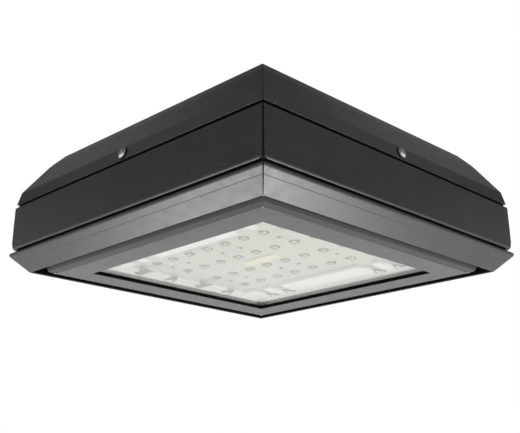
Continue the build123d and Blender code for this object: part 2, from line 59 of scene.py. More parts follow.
# Metal sheet and the shells' outlines, in millimetres
SHEET = 2.0
COVER_TOP_HALF = 204.0
COVER_SHOULDER = (219.0, 161.3)
COVER_CREASE = (246.3, 120.0)
COVER_BOTTOM = (250.2, 101.6)
BAND_TOP = (251.6, 97.9)
BAND_BOTTOM = (252.4, 33.4)
BAND_WALL = 2.5
BAND_EDGE = 3.0
BAND_FLANGE_HALF = 238.0
RIM_HALF = 254.0
RIM_TOP = 30.0
RIM_ROUND = 3.5
RIM_FLANGE_HALF = 237.0
TRIM_BOTTOM = (231.5, 1.4)
WINDOW_HALF = 168.8
FRAME_FACE_HALF = 206.5
FRAME_WALL_HALF = 217.1
FRAME_BEND_TOP = 11.6
RECESS_LEVEL = 20.0
SCREW_LEVEL = 111.0

# Light engine: the optics' grid, the rivets between their rows, and the reflector's levels
LED_PITCH = 36.0
LED_COLUMNS = [LED_PITCH * (column - 3.5) for column in range(8)]
INNER_ROW = 29.5
OUTER_ROW = 88.0
LED_ROWS = (-OUTER_ROW, -INNER_ROW, INNER_ROW, OUTER_ROW)
RIVET_COLUMNS = [LED_COLUMNS[column] for column in (0, 1, 3, 4, 6, 7)]
RIVET_ROW = (INNER_ROW + OUTER_ROW) / 2
BOARD_LEVEL = 26.2
FIELD_LEVEL = 24.8
BORDER_LEVEL = 18.4


def level(z):
    """Height in millimetres above the lens frame's face of a height in the frame, in metres."""
    return (z - FACE_Z) / MM


def place(x, y, z):
    """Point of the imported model, in metres, from millimetres and a level above the lens frame's face."""
    return Vector((x * MM, y * MM, FACE_Z + z * MM))


COVER_TOP = level(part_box("top_cover")[1].z)


# Materials

# Nearly all of a noise pattern's values lie between these two
NOISE_LOW = 0.3
NOISE_HIGH = 0.7
# Numbers of the colour mix's two colour inputs and of its colour output
MIX_FIRST = 6
MIX_SECOND = 7
MIX_RESULT = 2
WHITE = (1.0, 1.0, 1.0, 1.0)
ALL_WAYS = (1.0, 1.0, 1.0)
# Marks are drawn out twenty times along X
ALONG_X = (0.05, 1.0, 1.0)


def colour(hexadecimal):
    """Linear colour of an sRGB hex value."""
    channels = [int(hexadecimal[i:i + 2], 16) / 255 for i in (1, 3, 5)]
    linear = [c / 12.92 if c <= 0.04045 else ((c + 0.055) / 1.055) ** 2.4 for c in channels]
    return (*linear, 1.0)


def add(tree, kind, links=None, **settings):
    """Adds a node with its settings, and sets or links its inputs."""
    node = tree.nodes.new(kind)
    for name, value in settings.items():
        setattr(node, name, value)
    for name, value in (links or {}).items():
        if isinstance(value, bpy.types.NodeSocket):
            tree.links.new(value, node.inputs[name])
        else:
            node.inputs[name].default_value = value
    return node


def new_material(name):
    """Empty material, its tree and its object coordinates."""
    material = bpy.data.materials.new(name)
    material.use_nodes = True
    tree = material.node_tree
    tree.nodes.clear()
    coordinates = add(tree, "ShaderNodeTexCoord").outputs["Object"]
    return material, tree, coordinates


def blotches(tree, coordinates, size, detail=3.0, scale=ALL_WAYS):
    """Pattern of blotches about size millimetres across, longer along an axis scaled below one."""
    mapped = add(tree, "ShaderNodeMapping", {"Vector": coordinates, "Scale": scale})
    noise = add(
        tree,
        "ShaderNodeTexNoise",
        {
            "Vector": mapped.outputs["Vector"],
            "Scale": 1.0 / (size * MM),
            "Detail": detail,
            "Roughness": 0.55,
        },
    )
    return noise.outputs["Fac"]


def shaded(tree, value, first, second, low=NOISE_LOW, high=NOISE_HIGH):
    """Colour that goes from one hex colour to another as a value goes from low to high."""
    spread = add(tree, "ShaderNodeMapRange", {"Value": value, "From Min": low, "From Max": high})
    mix = add(
        tree,
        "ShaderNodeMix",
        {
            "Factor": spread.outputs["Result"],
            MIX_FIRST: colour(first),
            MIX_SECOND: colour(second),
        },
        data_type="RGBA",
    )
    return mix.outputs[MIX_RESULT]


def textured(
    tree,
    tone,
    gloss_pattern,
    roughness,
    wander,
    bump_pattern,
    strength,
    depth,
    metallic=0.0,
    specular=0.5,
):
    """Surface with a tone, a roughness that wanders with one pattern and bumps that follow another."""
    gloss = add(
        tree,
        "ShaderNodeMapRange",
        {
            "Value": gloss_pattern,
            "From Min": NOISE_LOW,
            "From Max": NOISE_HIGH,
            "To Min": roughness - wander,
            "To Max": roughness + wander,
        },
    )
    bumps = add(
        tree,
        "ShaderNodeBump",
        {"Height": bump_pattern, "Strength": strength, "Distance": depth * MM},
    )
    surface = add(
        tree,
        "ShaderNodeBsdfPrincipled",
        {
            "Base Color": tone,
            "Metallic": metallic,
            "Roughness": gloss.outputs["Result"],
            "Specular IOR Level": specular,
            "Normal": bumps.outputs["Normal"],
        },
    )
    add(tree, "ShaderNodeOutputMaterial", {"Surface": surface.outputs["BSDF"]})


def powder_coat(name, dark, light, specular, roughness):
    """Baked polyester powder on sheet steel: an even semi-gloss with fine orange peel."""
    material, tree, coordinates = new_material(name)
    textured(
        tree,
        shaded(tree, blotches(tree, coordinates, size=60.0), dark, light),
        gloss_pattern=blotches(tree, coordinates, size=14.0),
        roughness=roughness,
        wander=0.03,
        bump_pattern=blotches(tree, coordinates, size=1.6, detail=1.0),
        strength=0.12,
        depth=0.05,
        specular=specular,
    )
    return material


def rubber(name, black, dust):
    """Black EPDM: matt, with a little pale dust in its pores."""
    material, tree, coordinates = new_material(name)
    pores = blotches(tree, coordinates, size=1.2)
    textured(
        tree,
        shaded(tree, pores, black, dust),
        gloss_pattern=pores,
        roughness=0.9,
        wander=0.0,
        bump_pattern=pores,
        strength=0.3,
        depth=0.1,
        specular=0.1,
    )
    return material


def bright_metal(name, dark, light, roughness, scale=ALL_WAYS):
    """Bare metal with fine marks, which a scale below one draws out along its axis."""
    material, tree, coordinates = new_material(name)
    marks = blotches(tree, coordinates, size=0.8, scale=scale)
    textured(
        tree,
        shaded(tree, marks, dark, light),
        gloss_pattern=marks,
        roughness=roughness,
        wander=0.06,
        bump_pattern=marks,
        strength=0.08,
        depth=0.03,
        metallic=1.0,
    )
    return material


def galvanised(name, dark, light):
    """Hot dip galvanised sheet: grey zinc in flat crystals, each with a shade and gloss of its own."""
    crystal_width = 9.0
    material, tree, coordinates = new_material(name)
    crystals = add(
        tree, "ShaderNodeTexVoronoi", {"Vector": coordinates, "Scale": 1.0 / (crystal_width * MM)}
    )
    shade = add(tree, "ShaderNodeSeparateColor", {"Color": crystals.outputs["Color"]}).outputs["Red"]
    gloss = add(tree, "ShaderNodeMapRange", {"Value": shade, "To Min": 0.32, "To Max": 0.5})
    surface = add(
        tree,
        "ShaderNodeBsdfPrincipled",
        {
            "Base Color": shaded(tree, shade, dark, light, low=0.0, high=1.0),
            "Metallic": 1.0,
            "Roughness": gloss.outputs["Result"],
        },
    )
    add(tree, "ShaderNodeOutputMaterial", {"Surface": surface.outputs["BSDF"]})
    return material


def fine_skin(tree, coordinates, tone, roughness):
    """Surface with a texture just under a millimetre across, as a mould or a thick coat leaves."""
    texture = blotches(tree, coordinates, size=0.9)
    textured(
        tree,
        tone,
        gloss_pattern=texture,
        roughness=roughness,
        wander=0.05,
        bump_pattern=texture,
        strength=0.15,
        depth=0.06,
    )


def moulded(name, dark, light, roughness):
    """Moulded plastic or another even skin, faintly blotched, with a fine texture."""
    material, tree, coordinates = new_material(name)
    tone = shaded(tree, blotches(tree, coordinates, size=25.0), dark, light)
    fine_skin(tree, coordinates, tone, roughness)
    return material


def enamel(name, border, field, border_level, field_level, roughness):
    """Enamelled reflector, greyed from its border to its deep field by painted shade."""
    material, tree, coordinates = new_material(name)
    height = add(tree, "ShaderNodeSeparateXYZ", {"Vector": coordinates}).outputs["Z"]
    low = place(0, 0, border_level).z
    high = place(0, 0, field_level).z
    fine_skin(tree, coordinates, shaded(tree, height, border, field, low, high), roughness)
    return material


def any_ray(tree, *kinds):
    """Factor that is one for a ray of any of these kinds, and otherwise nought."""
    path = add(tree, "ShaderNodeLightPath")
    found = path.outputs[kinds[0]]
    for kind in kinds[1:]:
        either = add(tree, "ShaderNodeMath", {0: found, 1: path.outputs[kind]}, operation="MAXIMUM")
        found = either.outputs[0]
    return found


def clear(name, tone, ior, roughness):
    """Clear glass or acrylic that lets lamp light straight through, so that no caustics are needed."""
    haze = 0.01
    material, tree, coordinates = new_material(name)
    gloss = add(
        tree,
        "ShaderNodeMapRange",
        {
            "Value": blotches(tree, coordinates, size=30.0),
            "From Min": NOISE_LOW,
            "From Max": NOISE_HIGH,
            "To Min": roughness,
            "To Max": roughness + haze,
        },
    )
    body = add(
        tree,
        "ShaderNodeBsdfPrincipled",
        {
            "Base Color": colour(tone),
            "Roughness": gloss.outputs["Result"],
            "IOR": ior,
            "Transmission Weight": 1.0,
        },
    )
    through = add(tree, "ShaderNodeBsdfTransparent", {"Color": WHITE})
    lit = any_ray(tree, "Is Shadow Ray", "Is Diffuse Ray")
    mix = add(
        tree,
        "ShaderNodeMixShader",
        {0: lit, 1: body.outputs["BSDF"], 2: through.outputs["BSDF"]},
    )
    add(tree, "ShaderNodeOutputMaterial", {"Surface": mix.outputs["Shader"]})
    return material


# Shells: baked polyester powder in dark bronze, semi-gloss, so faces turned to a lamp go pale grey.
DARK_COAT = powder_coat("dark_bronze_powder_coat", "#29272d", "#302e34", specular=0.78, roughness=0.34)
# Seals: extruded EPDM and closed cell foam, which stay black in any light.
SEAL_RUBBER = rubber("epdm_rubber", "#050505", "#0b0b0b")
# Screws: passivated stainless steel, bright and a little warm.
STAINLESS = bright_metal("stainless_steel", "#c4c0b8", "#e2ded6", roughness=0.32)
# Heat sink, spreader and driver case: rolled aluminium, with pale lines along the way it was rolled.
MILL_ALUMINIUM = bright_metal("mill_aluminium", "#b4b6b8", "#cfd1d2", roughness=0.34, scale=ALONG_X)
# Chassis and brackets: hot dip galvanised sheet, whose crystals catch the light one by one.
ZINC = galvanised("galvanised_sheet", "#8f9294", "#b3b5b6")
# Reflector: stoved white enamel, a shade greyer and yellower in its deep field than on its border; the
# greyer field is painted shade, where less light reaches.
SHADE_PAINTED_ENAMEL = enamel(
    "white_enamel_painted_shade",
    border="#f4f3f0",
    field="#c6c6bc",
    border_level=19.0,
    field_level=24.4,
    roughness=0.4,
)
# Rivets, and the dark plates and wires set as painted shade at the reflector's trough ends: spring steel
# under black oxide, which takes the metal's shine away.
DARK_RIVET_AND_SHADE = moulded("blackened_spring_steel", "#232223", "#323031", roughness=0.45)
# Connector cover and terminals: injection moulded nylon, cream, with a soft sheen.
CREAM_NYLON = moulded("cream_nylon", "#e3dfbf", "#ece9cd", roughness=0.5)
# Surge protector: moulded ABS, slate grey and low in gloss.
GREY_ABS = moulded("grey_abs", "#43464a", "#4c4f54", roughness=0.45)
# Wires: extruded PVC, black and smooth.
BLACK_PVC = moulded("black_pvc", "#17171a", "#1f1f22", roughness=0.4)
# Boards: white solder mask cured on aluminium, smooth and a little shiny.
SOLDER_MASK = moulded("white_solder_mask", "#dfe1da", "#e8eae3", roughness=0.3)
# LED packages: phosphor in silicone, pale yellow while it is unlit.
PHOSPHOR = moulded("yellow_phosphor", "#d9cf86", "#e6dc96", roughness=0.35)
# Pane: toughened float glass, colourless and polished, so that it mirrors the studio.
GLASS = clear("toughened_glass", "#fbfbf7", ior=1.5, roughness=0.0)
# Optics: moulded acrylic, clear, with a greenish cast and a trace of haze.
ACRYLIC = clear("clear_acrylic", "#ccd0b6", ior=1.49, roughness=0.03)
# Rings of the optics: moulded nylon, olive grey and dull.
OPTIC_RING = moulded("optic_ring_nylon", "#4a4944", "#5a5952", roughness=0.5)


# Meshes

SHARP_ANGLE = math.radians(40)
# A flat face ends this far from each rounding, so that the rounding's shading stays off it
SUPPORT = 0.8
# Follows a ring's radius and height where the ring is a hexagon
HEXAGON = True


def outward(bm):
    """Merges doubles and points every face outwards."""
    bmesh.ops.remove_doubles(bm, verts=bm.verts, dist=1e-7)
    bmesh.ops.recalc_face_normals(bm, faces=bm.faces)


def plain_object(name, bm, materials):
    """Object of a finished mesh."""
    mesh = bpy.data.meshes.new(name)
    bm.to_mesh(mesh)
    bm.free()
    for material in materials:
        mesh.materials.append(material)
    thing = bpy.data.objects.new(name, mesh)
    bpy.context.scene.collection.objects.link(thing)
    return thing


def settle(thing, body, replaced):
    """Makes an object a piece that stands for CAD nodes and moves with a body."""
    thing.data.shade_smooth()
    thing.data.set_sharp_from_angle(angle=SHARP_ANGLE)
    if replaced:
        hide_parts(*replaced)
    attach(thing, body)
    return thing


def piece(name, bm, materials, body, replaced):
    """Finished piece that stands for CAD nodes and moves with a body."""
    return settle(plain_object(name, bm, materials), body, replaced)


def lathe(bm, rings, closed=False, finish=0, steps=48):
    """Turned solid about Z through rings, each a radius and a height."""
    sixth = math.radians(60)
    loops = []
    for radius, height, *hexagonal in rings:
        loop = []
        for step in range(steps if radius else 1):
            angle = 2 * math.pi * step / steps
            flat = math.cos(sixth / 2) / math.cos(angle % sixth - sixth / 2)
            reach = radius * MM * (flat if hexagonal else 1.0)
            loop.append(bm.verts.new((reach * math.cos(angle), reach * math.sin(angle), height * MM)))
        loops.append(loop)
    if closed:
        loops.append(loops[0])
    for first, second in zip(loops, loops[1:]):
        for i in range(steps):
            corners = [
                first[i % len(first)],
                first[(i + 1) % len(first)],
                second[(i + 1) % len(second)],
                second[i % len(second)],
            ]
            bm.faces.new(list(dict.fromkeys(corners))).material_index = finish


def copies_tree():
    """Node tree that sets a source object on every point, turned as the point says."""
    given = {
        "Points": "NodeSocketGeometry",
        "Source": "NodeSocketObject",
        "Scale": "NodeSocketFloat",
        "First finish": "NodeSocketMaterial",
        "Second finish": "NodeSocketMaterial",
    }
    tree = bpy.data.node_groups.new("copies", "GeometryNodeTree")
    for name, kind in given.items():
        tree.interface.new_socket(name, in_out="INPUT", socket_type=kind)
    tree.interface.new_socket("Copies", in_out="OUTPUT", socket_type="NodeSocketGeometry")
    entry = add(tree, "NodeGroupInput")
    source = add(tree, "GeometryNodeObjectInfo", {"Object": entry.outputs["Source"]})
    turn = add(tree, "GeometryNodeInputNamedAttribute", {"Name": "turn"}, data_type="FLOAT_VECTOR")
    turned = add(tree, "FunctionNodeEulerToRotation", {"Euler": turn.outputs["Attribute"]})
    copies = add(
        tree,
        "GeometryNodeInstanceOnPoints",
        {
            "Points": entry.outputs["Points"],
            "Instance": source.outputs["Geometry"],
            "Rotation": turned.outputs["Rotation"],
            "Scale": entry.outputs["Scale"],
        },
    )
    solid = add(tree, "GeometryNodeRealizeInstances", {"Geometry": copies.outputs["Instances"]})
    second = add(tree, "GeometryNodeInputMaterialIndex").outputs["Material Index"]
    first = add(tree, "FunctionNodeBooleanMath", {0: second}, operation="NOT")
    for chosen, socket in ((first.outputs[0], "First finish"), (second, "Second finish")):
        solid = add(
            tree,
            "GeometryNodeSetMaterial",
            {
                "Geometry": solid.outputs["Geometry"],
                "Selection": chosen,
                "Material": entry.outputs[socket],
            },
        )
    add(tree, "NodeGroupOutput", {"Copies": solid.outputs["Geometry"]})
    return tree


COPIES = copies_tree()


def repeated(name, bm, materials, spots, body, replaced):
    """Piece made of one solid repeated on spots, each a point in metres and its turn."""
    outward(bm)
    source = plain_object(name + "_source", bm, materials)
    points = bpy.data.meshes.new(name + "_points")
    points.from_pydata([tuple(point) for point, _ in spots], [], [])
    turns = points.attributes.new("turn", "FLOAT_VECTOR", "POINT")
    for item, (_, turn) in zip(turns.data, spots):
        item.vector = turn
    carrier = bpy.data.objects.new(name + "_carrier", points)
    bpy.context.scene.collection.objects.link(carrier)
    modifier = carrier.modifiers.new("copies", "NODES")
    modifier.node_group = COPIES
    given = {
        "Source": source,
        "Scale": 1.0,
        "First finish": materials[0],
        "Second finish": materials[-1],
    }
    for socket in COPIES.interface.items_tree:
        if socket.name in given:
            modifier[socket.identifier] = given[socket.name]
    depsgraph = bpy.context.evaluated_depsgraph_get()
    mesh = bpy.data.meshes.new_from_object(carrier.evaluated_get(depsgraph), depsgraph=depsgraph)
    mesh.name = name
    bpy.data.objects.remove(carrier)
    bpy.data.objects.remove(source)
    thing = bpy.data.objects.new(name, mesh)
    bpy.context.scene.collection.objects.link(thing)
    return settle(thing, body, replaced)


def square_path(half, corner, seam, steps):
    """Points round a square whose rounded corners are split by a seam.

    The seam is a depth and a spread in degrees to either side of the diagonal.
    """
    middle = Vector((half - corner, half - corner))
    depth, spread = seam
    quarter = [Vector((half, half - corner - SUPPORT))]
    for step in range(steps + 1):
        turned = 90 * step / steps
        angle = math.radians(turned)
        sink = depth * max(0.0, 1 - abs(turned - 45) / spread)
        point = middle + corner * Vector((math.cos(angle), math.sin(angle)))
        quarter.append(point - sink * Vector((1.0, 1.0)).normalized())
    quarter.append(Vector((half - corner - SUPPORT, half)))
    turns = [Matrix.Rotation(math.radians(90 * side), 2) for side in range(4)]
    return [turn @ point for turn in turns for point in quarter]


def square_loop(bm, half, z, corner, seam, steps):
    """Ring of vertices round the square at one level."""
    return [bm.verts.new(place(p.x, p.y, z)) for p in square_path(half, corner, seam, steps)]


def bridge(bm, first, second):
    """Quads between two rings with the same count."""
    count = len(first)
    for i in range(count):
        following = (i + 1) % count
        bm.faces.new((first[i], first[following], second[following], second[i]))


def sweep(bm, profile, steps=6, closed=True):
    """Runs a profile of half width, level, corner radius and seam round the four sides."""
    rings = [square_loop(bm, half, z, corner, seam, steps) for half, z, corner, seam in profile]
    pairs = list(zip(rings, rings[1:]))
    if closed:
        pairs.append((rings[-1], rings[0]))
    for first, second in pairs:
        bridge(bm, first, second)
    return rings


def arc(middle, radius, start, end, steps):
    """Points of an arc in half width and level, between two angles in degrees."""
    points = []
    for step in range(steps + 1):
        angle = math.radians(start + (end - start) * step / steps)
        points.append((middle[0] + radius * math.cos(angle), middle[1] + radius * math.sin(angle)))
    return points


NO_SEAM = (0.0, 1.0)


def with_corner(points, radius_at, seam_at=lambda z: NO_SEAM, closed=True):
    """Adds the corner radius and seam for each point's level, and supports at the ends of long runs."""
    supported = []
    ends = points[1:] + points[:1] if closed else points[1:]
    for start, end in zip(points, ends):
        run = Vector(end) - Vector(start)
        supported.append(tuple(start))
        if run.length > 5 * SUPPORT:
            supported.append(tuple(Vector(start) + run * (SUPPORT / run.length)))
            supported.append(tuple(Vector(end) - run * (SUPPORT / run.length)))
    if not closed:
        supported.append(tuple(points[-1]))
    return [(half, z, radius_at(z), seam_at(z)) for half, z in supported]


def blend_corner(start, corner, end, steps):
    """Points of a curve that leaves start towards corner and arrives at end from it."""
    first, middle, last = Vector(start), Vector(corner), Vector(end)
    points = []
    for step in range(steps + 1):
        share = step / steps
        point = first * (1 - share) ** 2 + middle * 2 * share * (1 - share) + last * share ** 2
        points.append((point.x, point.y))
    return points


def softened(points, reaches, steps=5):
    """The open profile, each inner corner replaced by a curve that starts its reach before it."""
    curve = [points[0]]
    for before, corner, after, reach in zip(points, points[1:], points[2:], reaches):
        start = Vector(corner) + (Vector(before) - Vector(corner)).normalized() * reach
        end = Vector(corner) + (Vector(after) - Vector(corner)).normalized() * reach
        curve += blend_corner(start, corner, end, steps)
    curve.append(points[-1])
    return curve


def inset_profile(points, thickness):
    """The open profile moved inwards by the sheet's thickness, its corners mitred."""
    ways = [(Vector(end) - Vector(start)).normalized() for start, end in zip(points, points[1:])]
    moved = []
    for point, before, after in zip(points, ways[:1] + ways, ways + ways[-1:]):
        middle = (before + after).normalized()
        reach = thickness / middle.dot(before)
        moved.append((point[0] - middle.y * reach, point[1] + middle.x * reach))
    return moved


def circle(bm, x, y, z, radius, steps=32):
    """Ring of vertices round a hole."""
    angles = [2 * math.pi * step / steps for step in range(steps)]
    return [bm.verts.new(place(x + radius * math.cos(a), y + radius * math.sin(a), z)) for a in angles]


def fill(bm, rings, normal):
    """Flat face with holes between rings of vertices."""
    edges = []
    for ring in rings:
        for i, vertex in enumerate(ring):
            following = ring[(i + 1) % len(ring)]
            edges.append(bm.edges.get((vertex, following)) or bm.edges.new((vertex, following)))
    bmesh.ops.triangle_fill(bm, edges=edges, use_beauty=True, normal=normal)


def pierced(bm, lower, upper, holes, low, high):
    """Plate between two outer rings, with round holes through it."""
    low_rings = [circle(bm, x, y, low, radius) for x, y, radius in holes]
    high_rings = [circle(bm, x, y, high, radius) for x, y, radius in holes]
    fill(bm, [lower] + low_rings, (0, 0, -1))
    fill(bm, [upper] + high_rings, (0, 0, 1))
    for first, second in zip(low_rings, high_rings):
        bridge(bm, first, second)


def share_between(z, low, high):
    """How far a level is from low to high, from nought to one."""
    return (z - low) / (high - low)


def ceiling_holes():
    """Wire entry, anchor holes and outlet box holes as x, y and radius."""
    mounts = {mount["name"]: mount["dims"] for mount in frame["record"]["mounts"]}
    anchors = mounts["ceiling_anchors"]
    box_screws = mounts["outlet_box_screws"]
    reach = anchors["spacing_x_mm"] / 2
    near = box_screws["spacing_x_mm"] / 2
    holes = [(0.0, 0.0, mounts["wire_entry"]["r_mm"])]
    holes += [(x, y, anchors["hole_r_mm"]) for x in (-reach, reach) for y in (-reach, reach)]
    holes += [(x, 0.0, box_screws["hole_r_mm"]) for x in (-near, near)]
    return holes


def make_cover():
    """Hipped top cover: a leaning wall, a crease, a soft shoulder and a flat pierced top."""
    hem_round = 0.5
    crease_reach = 1.6
    shoulder_reach = 7.0
    top_reach = 0.5
    hip_corner = 1.2
    seam_depth = 1.2
    seam_spread = 24
    seam_top = COVER_CREASE[1] + 6
    web_half = COVER_TOP_HALF - 60
    sheet_line = [
        COVER_BOTTOM,
        COVER_CREASE,
        COVER_SHOULDER,
        (COVER_TOP_HALF, COVER_TOP),
        (web_half, COVER_TOP),
    ]
    hem_start = (COVER_BOTTOM[0] - 2 * hem_round, COVER_BOTTOM[1])
    reaches = (hem_round, crease_reach, shoulder_reach, top_reach)
    outer = softened([hem_start] + sheet_line, reaches)[1:]
    inner = inset_profile(sheet_line, SHEET)
    inner[0] = (inner[0][0], COVER_BOTTOM[1])

    def seam(z):
        return (seam_depth * max(0.0, 1 - share_between(z, COVER_BOTTOM[1], seam_top)), seam_spread)

    bm = bmesh.new()
    profile = with_corner(inner[::-1] + outer, lambda z: hip_corner, seam, closed=False)
    rings = sweep(bm, profile, steps=8, closed=False)
    pierced(bm, rings[0], rings[-1], ceiling_holes(), COVER_TOP - SHEET, COVER_TOP)
    outward(bm)
    piece("cover_shell", bm, [DARK_COAT], "housing", ["top_cover"])


def make_band():
    """Rolled channel of the side band, with soft edges and corners that open towards the bottom."""
    corner_round = 1.8
    notch_round = 4.2
    notch_height = 11.0
    seam_depth = 3.0
    seam_narrowing = 1.2
    notch_depth = 2.6
    seam_spread = 40
    spread_narrowing = 12
    low = BAND_BOTTOM[1]
    high = BAND_TOP[1]

    def half(z):
        return BAND_BOTTOM[0] + share_between(z, low, high) * (BAND_TOP[0] - BAND_BOTTOM[0])

    def notch(z):
        return max(0.0, 1 - (z - low) / notch_height)

    def corner(z):
        return corner_round + notch_round * notch(z)

    def seam(z):
        share = share_between(z, low, high)
        depth = seam_depth - seam_narrowing * share + notch_depth * notch(z)
        return (depth, seam_spread - spread_narrowing * share)

    lower_middle = (half(low) - BAND_EDGE, low + BAND_EDGE)
    upper_middle = (half(high) - BAND_EDGE, high - BAND_EDGE)
    lower = arc(lower_middle, BAND_EDGE, start=270, end=360, steps=6)
    upper = arc(upper_middle, BAND_EDGE, start=0, end=90, steps=6)
    notch_top = (half(low + notch_height), low + notch_height)
    middle = (half((low + high) / 2), (low + high) / 2)
    outer = [(BAND_FLANGE_HALF, low)] + lower + [notch_top, middle] + upper + [(BAND_FLANGE_HALF, high)]
    inner = [
        (BAND_FLANGE_HALF, high - BAND_WALL),
        (half(high) - BAND_WALL, high - BAND_WALL),
        (half(low) - BAND_WALL, low + BAND_WALL),
        (BAND_FLANGE_HALF, low + BAND_WALL),
    ]
    bm = bmesh.new()
    sweep(bm, with_corner(outer + inner, corner, seam), steps=16)
    outward(bm)
    piece("band_shell", bm, [DARK_COAT], "housing", ["side_band"])


def slope_frame():
    """Rim circle's middle, and the way up the trim's face that just touches it, with its normal."""
    middle = Vector((RIM_HALF - RIM_ROUND, RIM_TOP - RIM_ROUND))
    start = Vector(TRIM_BOTTOM)
    reach = (middle - start).length
    lean = math.asin(RIM_ROUND / reach)
    way = Matrix.Rotation(-lean, 2) @ (middle - start).normalized()
    return middle, way, Vector((way.y, -way.x))


def make_trim():
    """Door's sloping skirt with a rolled rim, a fine crease below it and an inward flange."""
    middle, way, normal = slope_frame()
    start = Vector(TRIM_BOTTOM)
    touch = middle + RIM_ROUND * normal
    length = (touch - start).length
    crease_at = 0.72 * length
    crease_half = 0.18
    crease_depth = 0.09
    crease_shoulder = 0.05
    hem = 0.3
    face_start = 2.0
    bottom_corner = 0.8
    rim_corner = 2.2
    seam_depth = 0.9
    seam_widening = 1.0
    seam_spread = 26

    def on_face(distance, depth=0.0):
        point = start + distance * way - depth * normal
        return (point.x, point.y)

    def corner(z):
        share = share_between(z, TRIM_BOTTOM[1], RIM_TOP)
        return bottom_corner + share * (rim_corner - bottom_corner)

    def seam(z):
        return (seam_depth + seam_widening * share_between(z, TRIM_BOTTOM[1], RIM_TOP), seam_spread)

    start_angle = math.degrees(math.atan2(normal.y, normal.x))
    edge = [on_face(hem, SHEET), on_face(0.0, SHEET - hem), on_face(0.0, hem), on_face(hem)]
    face = [
        on_face(face_start),
        on_face(crease_at - 2 * crease_half),
        on_face(crease_at - crease_half, crease_shoulder),
        on_face(crease_at, crease_depth),
        on_face(crease_at + crease_half, crease_shoulder),
        on_face(crease_at + 2 * crease_half),
    ]
    rim = arc(tuple(middle), RIM_ROUND, start=start_angle, end=90, steps=10)
    inner_rim = arc(tuple(middle), RIM_ROUND - SHEET, start=90, end=start_angle, steps=6)
    outer = edge + face + rim + [(RIM_FLANGE_HALF, RIM_TOP)]
    inner = [(RIM_FLANGE_HALF, RIM_TOP - SHEET)] + inner_rim + [on_face(face_start, SHEET)]
    bm = bmesh.new()
    sweep(bm, with_corner(outer + inner, corner, seam), steps=16)
    outward(bm)
    piece("trim_shell", bm, [DARK_COAT], "door", ["lower_trim"])


def make_lens_frame():
    """Flat frame round the window, its wall set off by a fine crease, and the recess flange."""
    _, way, normal = slope_frame()
    start = Vector(TRIM_BOTTOM) - SHEET * normal
    clearance = 0.05
    far = start.x + (RECESS_LEVEL - start.y) * way.x / way.y - clearance
    bend = (FRAME_WALL_HALF, FRAME_BEND_TOP)
    crease_half = 0.9
    crease_depth = 1.3
    crease_shoulder = 0.04
    wall_foot = 0.1
    fold = (FRAME_FACE_HALF + 6.9, 3.2)
    fold_reach = 0.15
    bend_reach = 0.6
    crease = [
        (FRAME_FACE_HALF - 2 * crease_half, 0.0),
        (FRAME_FACE_HALF - crease_half, crease_shoulder),
        (FRAME_FACE_HALF, crease_depth),
    ]
    wall_start = (FRAME_FACE_HALF + crease_half, wall_foot)
    wall_top = (FRAME_WALL_HALF, RECESS_LEVEL)
    wall_line = softened([wall_start, fold, bend, wall_top], (fold_reach, bend_reach))
    outer = [(WINDOW_HALF, 0.0)] + crease + wall_line + [(far, RECESS_LEVEL)]
    wall = FRAME_WALL_HALF - SHEET
    flange_lean = 1.5
    inner_bend = FRAME_BEND_TOP + 0.8
    inner = [
        (far + flange_lean, RECESS_LEVEL + SHEET),
        (wall, RECESS_LEVEL + SHEET),
        (wall, inner_bend),
        (FRAME_FACE_HALF - crease_half, SHEET),
        (WINDOW_HALF, SHEET),
    ]
    face_corner = 0.4
    wall_corner = 0.8
    corner_widening = 2.0

    def corner(z):
        if z < wall_foot:
            return face_corner
        return wall_corner + corner_widening * min(z / FRAME_BEND_TOP, 1.0)

    bm = bmesh.new()
    sweep(bm, with_corner(outer + inner, corner), steps=6)
    outward(bm)
    piece("lens_frame_shell", bm, [DARK_COAT], "door", ["lens_frame"])


def make_cover_seal():
    """Foam strip that closes the gap between cover and band, its upper edges rounded off."""
    inside = 243.4
    outside = 247.9
    edge = 1
    corner = 2.0
    low, high = BAND_TOP[1], level(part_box("cover_gasket")[1].z)
    profile = [(inside, low), (inside, high - edge), (inside + edge, high)]
    profile += [(outside - edge, high), (outside, high - edge), (outside, low)]
    bm = bmesh.new()
    sweep(bm, with_corner(profile, lambda z: corner))
    outward(bm)
    piece("cover_seal", bm, [SEAL_RUBBER], "housing", ["cover_gasket"])


def make_door_seal():
    """Foam strip between the door's rim and the band."""
    inside = 239.5
    outside = 246.5
    corner = 2.0
    low, high = RIM_TOP, BAND_BOTTOM[1]
    profile = [(inside, low), (inside, high), (outside, high), (outside, low)]
    bm = bmesh.new()
    sweep(bm, with_corner(profile, lambda z: corner))
    outward(bm)
    piece("door_seal", bm, [SEAL_RUBBER], "housing", ["door_gasket"])


def make_lens_seal():
    """Rubber channel round the window: a strip under the glass with a lip over the sheet's edge."""
    low = 0.4
    edge = 0.5
    lip_width = 0.6
    corner = 0.6
    high = level(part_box("lens_gasket")[1].z)
    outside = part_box("lens_gasket")[1].x / MM
    lip = WINDOW_HALF - lip_width
    profile = [(lip, low), (lip, high - edge), (lip + lip_width, high), (outside, high)]
    profile += [(outside, SHEET), (WINDOW_HALF, SHEET), (WINDOW_HALF, low)]
    bm = bmesh.new()
    sweep(bm, with_corner(profile, lambda z: corner))
    outward(bm)
    piece("lens_seal", bm, [SEAL_RUBBER], "door", ["lens_gasket"])


def make_pane():
    """Toughened pane with ground edges."""
    ground = 0.6
    corner = 3.0
    low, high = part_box("lens_glass")
    half = high.x / MM
    bottom, top = level(low.z), level(high.z)
    web = half - 3 * ground
    profile = [(web, bottom), (half - ground, bottom), (half, bottom + ground)]
    profile += [(half, top - ground), (half - ground, top), (web, top)]
    bm = bmesh.new()
    rings = sweep(bm, with_corner(profile, lambda z: corner, closed=False), closed=False)
    bm.faces.new(rings[0][::-1])
    bm.faces.new(rings[-1])
    outward(bm)
    piece("lens_pane", bm, [GLASS], "door", ["lens_glass"])


